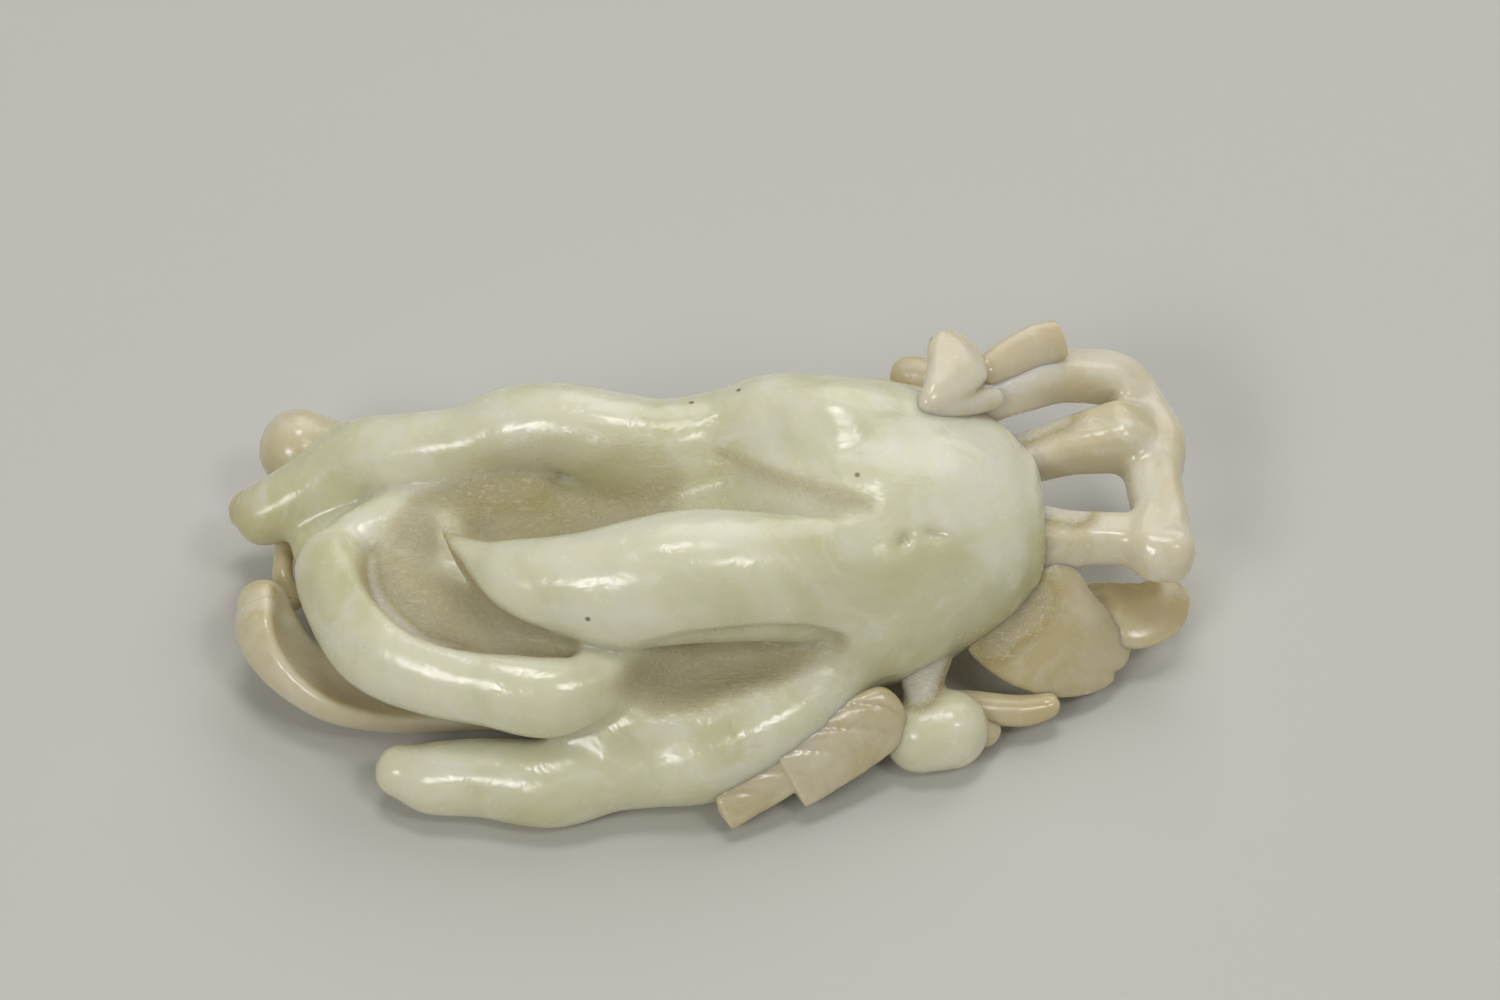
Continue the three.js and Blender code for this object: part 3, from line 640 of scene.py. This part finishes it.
# The middle one has a thin lobe at its tip, which shows between the fingers above it.
under_middle = Stone(low=(-57, 0, -1), high=(-15, 21, 15), step=0.36, reach=4.0)
under_middle.join(rows_limb(under_middle_rows, UNDER_MIDDLE_RADIUS), blend=0.5)
under_middle.join(limb([(-46.2, 12.8, 7.8), (-47.2, 9.5, 9.0), (-47.4, 6.5, 9.0), (-47.3, 4.3, 8.6),
                        (-46.4, 2.5, 7.0)], [2.4, 1.5, 1.1, 1.15, 1.5]), blend=1.0)
under_middle.flatten(blend=0.3)
finish_piece(stone_piece(under_middle, "under_middle_finger"), warm_jade, "warm_jade",
             "under_middle_finger")


# THE BRANCH. A pierced loop of stone behind the stem end of the fruit, cut square and then rounded,
# with two struts left standing to hold it. Drill and saw work shows as matt on top of the struts.
BRANCH_RADIUS = 2.8
UPPER_STRUT_RADIUS = 2.4
LOWER_STRUT_RADIUS = 2.75
BRANCH_SECTION_POWER = 0.66
STRUT_SECTION_POWER = 0.68
STRUT_BLEND = 1.8
FROST_RISE = 1.3
branch_rows = [
    (0.195, 0.251, 0.639, 0.9), (0.261, 0.316, 0.72, 1.05), (0.32, 0.372, 0.735, 1.15),
    (0.369, 0.402, 0.702, 0.95), (0.42, 0.42, 0.645, 1), (0.443, 0.383, 0.584, 0.98),
    (0.456, 0.29, 0.545, 1.24), (0.454, 0.198, 0.527, 1.07), (0.46, 0.088, 0.496, 1),
    (0.459, 0.029, 0.483, 1.2),
]
upper_strut_rows = [
    (0.261, 0.247, 0.555, 1.118), (0.319, 0.25, 0.555, 1.067), (0.364, 0.268, 0.582, 1.186),
    (0.419, 0.286, 0.6, 1.5),
]
lower_strut_rows = [
    (0.251, 0.068, 0.463, 1.113), (0.315, 0.076, 0.476, 1.156), (0.369, 0.068, 0.483, 0.945),
    (0.432, 0.059, 0.491, 0.927),
]
branch = Stone(low=(14, -6, 8), high=(56, 28, 28), step=0.28, reach=4.0)
branch.join(rows_limb(branch_rows, BRANCH_RADIUS, section_power=BRANCH_SECTION_POWER), blend=0.5)
for rows, radius in ((upper_strut_rows, UPPER_STRUT_RADIUS), (lower_strut_rows, LOWER_STRUT_RADIUS)):
    branch.join(rows_limb(rows, radius, section_power=STRUT_SECTION_POWER), STRUT_BLEND)
# A web of stone under the lower strut, where it leaves the fruit.
branch.join(limb([(28, 2.6, 13.4), (33, 2.7, 13.4), (37.5, 3.3, 14.3)], [3.3, 2.9, 2.2]), blend=2.0)
for rows, radius in ((upper_strut_rows, 2.3), (lower_strut_rows, 2.6)):
    top = [np.add(place_of(r), (0, FROST_RISE, FROST_RISE)) for r in rows[:3]]
    branch.frost(limb(top, [radius] * 3), matt=1.6)
branch_jade = nephrite("polished nephrite near the skin", pale="ebe3d0", deep="d9cfae", warm="c8b184",
                       thin_from=0.6, thin_glow_share=0.25)
finish_piece(stone_piece(branch, "pierced_branch"), branch_jade, "warm_jade",
             "branch", "upper_strut", "lower_strut")


# THE FRUITLET. A bud-like young fruit beside the citron, round and polished. It hangs on a short
# stalk with a web at its side, which the drill left rough where it leaves the skin of the fruit.
fruitlet = Stone(low=(17, -21, -1), high=(32, -3, 16), step=0.22, reach=3.0)
fruitlet.join(limb([(21.9, -14.8, 4.3), (24.9, -14.3, 4.6)], [4.1, 4.3]), blend=0.5)
fruitlet.join(limb([(23.6, -5.4, 12.8), (23.3, -8.1, 10.9), (22.3, -10.8, 8.3), (22.3, -13.0, 5.8)],
                   [2.6, 2.3, 2.1, 2.0]), blend=1.0)
fruitlet.join(limb([(20.6, -7.0, 12.4), (21.0, -9.0, 10.2), (21.6, -11.3, 7.6)], [1.9, 1.6, 1.3]),
              blend=1.2)
fruitlet.flatten(blend=0.3)
fruitlet.frost(limb([(22.5, -9, 13), (21.5, -12.5, 9)], [3.2, 2.6]), matt=1.5)
finish_piece(stone_piece(fruitlet, "fruitlet_on_stalk"), pale_jade, "pale_jade", "fruitlet", "stalk")


# THE LEAVES. Eight small leaves and bracts cut from the warmer skin of the pebble: thin blades that
# curl. The one below the near finger is two blades, one behind the other, which step its margin like
# a saw, with engraved veins.
LEAF_THICKNESS = 2.2
LEAF_STEPS = 10
LEAF_SIDES = 40
LEAF_EDGE_POWER = 0.55
SHORTEST_END = 0.3
THINNEST_END_SHARE = 0.03
FLAT_BEND = -0.1
CUPPED_BEND = -0.3


def rounded(run, reach):
    """How full a blade is at a run from its end, where the end is rounded over a reach."""
    return np.sqrt(np.clip(1 - np.clip(1 - run / reach, 0, 1) ** 2, 0, 1))


def blade(rows, half_width, facing, bend, thickness=LEAF_THICKNESS, teeth=(), relief=None,
          rounds=(0.6, 0.6)):
    """The closed skin of one leaf. The rows give its rib and its two half widths from base to tip.

    A tooth is a side, a place along the rib, a depth and a length. Rounds are the lengths of the two
    rounded ends. All but the side are shares.
    """
    rib = smooth_line([place_of(r) for r in rows], LEAF_STEPS)
    width = smooth_line([(r[3] * half_width, r[4] * half_width, 0) for r in rows], LEAF_STEPS)[:, :2]
    way = np.gradient(rib, axis=0)
    way /= np.linalg.norm(way, axis=1)[:, None]
    toward = np.array(facing) / np.linalg.norm(facing)
    aside = np.cross(way, toward)
    aside /= np.linalg.norm(aside, axis=1)[:, None]
    above = np.cross(aside, way)
    n = len(rib)
    u = np.arange(n) / (n - 1)
    run = np.r_[0, np.cumsum(np.linalg.norm(np.diff(rib, axis=0), axis=1))]
    base_reach, tip_reach = [max(half_width * r, SHORTEST_END) for r in rounds]
    close = rounded(run, base_reach) * rounded(run[-1] - run, tip_reach)
    close = np.clip(close, THINNEST_END_SHARE, 1)
    turn = np.arange(LEAF_SIDES) / LEAF_SIDES * 2 * np.pi
    side, over = -np.cos(turn), np.sin(turn)
    w = np.where(side[None] > 0, width[:, :1], width[:, 1:]) * close[:, None]
    for which, at, deep, long in teeth:
        cutback = 1 - deep * np.clip(1 - np.abs(u - at) / long, 0, 1)
        w = np.where((side[None] > 0) == (which > 0), w * cutback[:, None], w)
    out = side[None] * w
    lift = np.sign(over) * np.abs(over) ** LEAF_EDGE_POWER * thickness / 2 * close[:, None]
    lift = lift + bend * np.abs(side[None]) * np.abs(out)
    if relief is not None:
        lift = lift + np.where(over > 0, relief(u[:, None], side[None]), 0)
    skin = rib[:, None] + aside[:, None] * out[..., None] + above[:, None] * lift[..., None]
    points = np.vstack([skin.reshape(-1, 3), skin[0].mean(axis=0), skin[-1].mean(axis=0)])
    k = np.arange(LEAF_SIDES)
    after = (k + 1) % LEAF_SIDES
    faces = []
    for r in range(n - 1):
        i, j = r * LEAF_SIDES + k, r * LEAF_SIDES + after
        faces += [np.c_[i, j, j + LEAF_SIDES], np.c_[i, j + LEAF_SIDES, i + LEAF_SIDES]]
    base_centre = np.full(LEAF_SIDES, n * LEAF_SIDES)
    tip_ring = (n - 1) * LEAF_SIDES
    faces += [np.c_[base_centre, after, k], np.c_[base_centre + 1, tip_ring + k, tip_ring + after]]
    return points, np.vstack(faces).astype(np.uint32)


def leaf_piece(name, skins, low, high, step=0.22, blend=0.6, cut=None, cut_matt=0.0, jade=warm_jade):
    """One leaf as a piece: its blades joined, ground once where it has a cut, and rubbed flat below."""
    stone = Stone(low, high, step, reach=3.0)
    for skin in skins:
        stone.join(skin, blend)
    if cut is not None:
        stone.cut(cut, 0.3, cut_matt)
    if low[2] < 0:
        stone.flatten(blend=0.2)
    finish_piece(stone_piece(stone, name, rounds=4), jade, "warm_jade", name)


front_leaf = blade([
    (0.357, 0.03, 0.455, 0.3, 0.3), (0.352, -0.01, 0.4, 0.42, 0.55), (0.347, -0.053, 0.344, 0.62, 1.12),
    (0.343, -0.1, 0.27, 0.98, 1.3), (0.338, -0.135, 0.21, 1.08, 1.12), (0.33, -0.172, 0.14, 0.95, 0.85),
], half_width=8, facing=(0.35, -0.62, 0.7), bend=-0.2,
    teeth=((-1, 0.4, 0.14, 0.1), (-1, 0.74, 0.08, 0.05)), rounds=(0.6, 0.45))
front_leaf_bevel = bar([
    (35.6, -3.6, 16.2, 3.0), (34.5, -4.8, 14.7, 3.3), (32.1, -7.5, 13.6, 3.5), (29.9, -9.3, 12.2, 3.5),
    (28.4, -11.0, 11.1, 3.5), (27.2, -12.3, 9.9, 3.2),
])
leaf_piece("front_leaf", [front_leaf], (22, -20, -1), (52, 8, 20), cut=front_leaf_bevel, cut_matt=1.5)

back_lobe = blade([
    (0.365, 0.021, 0.231, 0.8, 0.8), (0.4, 0.011, 0.221, 1, 1), (0.435, 0.011, 0.211, 1.05, 1.05),
    (0.453, 0.029, 0.216, 1.05, 1.05), (0.463, 0.061, 0.226, 0.9, 0.9), (0.464, 0.1, 0.24, 0.5, 0.5),
], half_width=3.7, facing=(0.1, -0.3, 0.95), bend=FLAT_BEND)
leaf_piece("back_lobe", [back_lobe], (34, -7, 1), (55, 11, 14))

small_leaf = blade([
    (0.24, -0.205, 0.17, 0.8, 0.8), (0.275, -0.21, 0.15, 0.95, 1), (0.316, -0.204, 0.125, 0.95, 1),
    (0.353, -0.188, 0.13, 0.6, 0.75),
], half_width=1.75, facing=(0, -0.5, 0.86), bend=CUPPED_BEND)
leaf_piece("small_leaf", [small_leaf], (21, -16, -1), (40, -6, 9), step=0.18)

sepal = blade([
    (0.262, -0.235, 0.11, 0.8, 0.8), (0.275, -0.25, 0.09, 1, 1), (0.282, -0.27, 0.075, 0.6, 0.6),
], half_width=2, facing=(0.5, -0.6, 0.6), bend=FLAT_BEND)
leaf_piece("sepal", [sepal], (23, -19, -1), (34, -9, 8), step=0.18)

VEIN_DEPTH = 0.2
RIB_OFFSET = 0.35
RIB_HALF_WIDTH = 0.07
VEIN_HALF_WIDTH = 0.03
VEIN_SWEEP = 0.3
VEIN_BEND = 1.4


def saw_veins(u, side):
    """Engraved veins that leave the rib and bend toward the tip, and the rib's own groove."""
    off_rib = side + RIB_OFFSET
    depth = VEIN_DEPTH * np.exp(-(off_rib / RIB_HALF_WIDTH) ** 2)
    for start in (0.0, 0.28, 0.56, 0.84):
        along = u - start - VEIN_SWEEP * np.abs(off_rib) ** VEIN_BEND
        depth = np.maximum(depth, VEIN_DEPTH * np.exp(-(along / VEIN_HALF_WIDTH) ** 2))
    return -depth


upper_saw_blade = blade([
    (0.192, -0.28, 0.262, 0.75, 0.7), (0.17, -0.295, 0.25, 0.85, 0.85), (0.131, -0.337, 0.228, 0.9, 1),
    (0.1, -0.374, 0.203, 0.9, 1.0), (0.07, -0.407, 0.173, 0.8, 0.95),
], half_width=4.2, facing=(0.2, -0.8, 0.56), bend=-0.05, thickness=2.6, relief=saw_veins,
    rounds=(0.5, 0.04))
lower_saw_blade = blade([
    (0.12, -0.345, 0.215, 0.6, 0.35), (0.08, -0.39, 0.178, 0.75, 0.5), (0.04, -0.433, 0.143, 0.7, 0.5),
    (0.004, -0.463, 0.107, 0.45, 0.55),
], half_width=4.2, facing=(0.2, -0.8, 0.56), bend=-0.05, thickness=2.4, relief=saw_veins,
    rounds=(0.3, 0.04))
leaf_piece("serrated_leaf", [upper_saw_blade, lower_saw_blade], (-5, -30, -1), (26, -8, 15),
           step=0.2, blend=0.15)

folded_leaf = blade([
    (0.208, 0.165, 0.925, 0.3, 0.3), (0.225, 0.2, 0.95, 0.6, 0.5), (0.239, 0.25, 0.96, 1.0, 0.8),
    (0.25, 0.3, 0.958, 1.15, 1.1), (0.262, 0.352, 0.935, 1.0, 0.95),
], half_width=3.3, facing=(-0.1, -0.8, 0.6), bend=-0.14, rounds=(0.6, 0.9))
folded_leaf_hem = limb([(20.3, 9.7, 28.4), (22.5, 9.6, 28.8), (25, 10.6, 28.4), (27.5, 12.6, 27.1),
                        (30, 15, 25.4)], [0.5, 1.0, 1.3, 1.4, 1.2])
leaf_piece("folded_leaf", [folded_leaf, folded_leaf_hem], (15, 4, 22), (35, 26, 36), jade=branch_jade)

pointed_leaf = blade([
    (0.272, 0.31, 0.84, 0.5, 0.7), (0.305, 0.352, 0.852, 0.8, 0.95), (0.335, 0.392, 0.86, 1.0, 0.95),
    (0.36, 0.419, 0.862, 0.9, 0.75),
], half_width=2.5, facing=(0.1, -0.7, 0.7), bend=-0.12, rounds=(0.6, 0.03))
leaf_piece("pointed_leaf", [pointed_leaf], (24, 12, 22), (42, 29, 32))

hidden_leaf = blade([
    (0.234, 0.405, 0.66, 0.8, 0.8), (0.205, 0.425, 0.66, 1, 1), (0.182, 0.42, 0.645, 0.6, 0.6),
], half_width=2.6, facing=(0, -0.3, 0.95), bend=FLAT_BEND)
leaf_piece("hidden_leaf", [hidden_leaf], (14, 17, 16), (29, 28, 26))


# THE TABLE AND THE LIGHT: a plain pale floor, four soft lamps round the carving, a little light from
# all sides, and a camera that looks down on it at 45 degrees. Places and sizes are in metres.
FLOOR_HALF_SIDE = 3
PAPER = "d2d0c8"
CAMERA_DISTANCE = 0.45
CAMERA_TILT = np.pi / 4

floor_corners = [(x * FLOOR_HALF_SIDE, y * FLOOR_HALF_SIDE, 0)
                 for x, y in ((-1, -1), (1, -1), (1, 1), (-1, 1))]
floor_mesh = bpy.data.meshes.new("floor")
floor_mesh.from_pydata(floor_corners, [], [(0, 1, 2, 3)])
floor = bpy.data.objects.new("floor", floor_mesh)
bpy.context.collection.objects.link(floor)
paper = bpy.data.materials.new("pale matt paper")
paper.use_nodes = True
paper_shader = paper.node_tree.nodes["Principled BSDF"]
paper_shader.inputs["Base Color"].default_value = linear(PAPER)
paper_shader.inputs["Roughness"].default_value = 0.9
floor_mesh.materials.append(paper)

world = bpy.data.worlds.new("studio")
bpy.context.scene.world = world
world.use_nodes = True
background = world.node_tree.nodes["Background"]
background.inputs["Color"].default_value = (1, 1, 1, 1)
background.inputs["Strength"].default_value = 0.17

# The point that the lamps and the camera look at, in the middle of the carving.
AIM = (np.array([3.7, 6.87, 18.0]) + shift) * METRES_PER_MM


def lamp(name, place, size, power):
    """A soft rectangular lamp that points at the carving."""
    light = bpy.data.lights.new(name, "AREA")
    light.shape = "RECTANGLE"
    light.size, light.size_y = size
    light.energy = power
    holder = bpy.data.objects.new(name, light)
    holder.location = place
    holder.rotation_mode = "QUATERNION"
    holder.rotation_quaternion = (Vector(AIM) - Vector(place)).to_track_quat("-Z", "Y")
    bpy.context.collection.objects.link(holder)


lamp("front left softbox", place=(-0.42, -0.72, 0.66), size=(0.34, 0.26), power=2.7)
lamp("overhead softbox", place=(0.0, 0.03, 1.05), size=(0.3, 0.24), power=2.0)
lamp("front right softbox", place=(0.4, -0.5, 0.9), size=(0.22, 0.16), power=1.5)
lamp("broad back fill", place=(0.25, 0.6, 0.8), size=(0.9, 0.7), power=3.3)

camera = bpy.data.cameras.new("camera")
camera.lens, camera.sensor_width = 100, 36
camera.clip_start, camera.clip_end = 0.01, 20
eye = bpy.data.objects.new("camera", camera)
bpy.context.collection.objects.link(eye)
eye.location = AIM + CAMERA_DISTANCE * np.array([0, -np.sqrt(0.5), np.sqrt(0.5)])
eye.rotation_euler = (CAMERA_TILT, 0, 0)
bpy.context.scene.camera = eye
bpy.context.scene.view_settings.view_transform = "Standard"
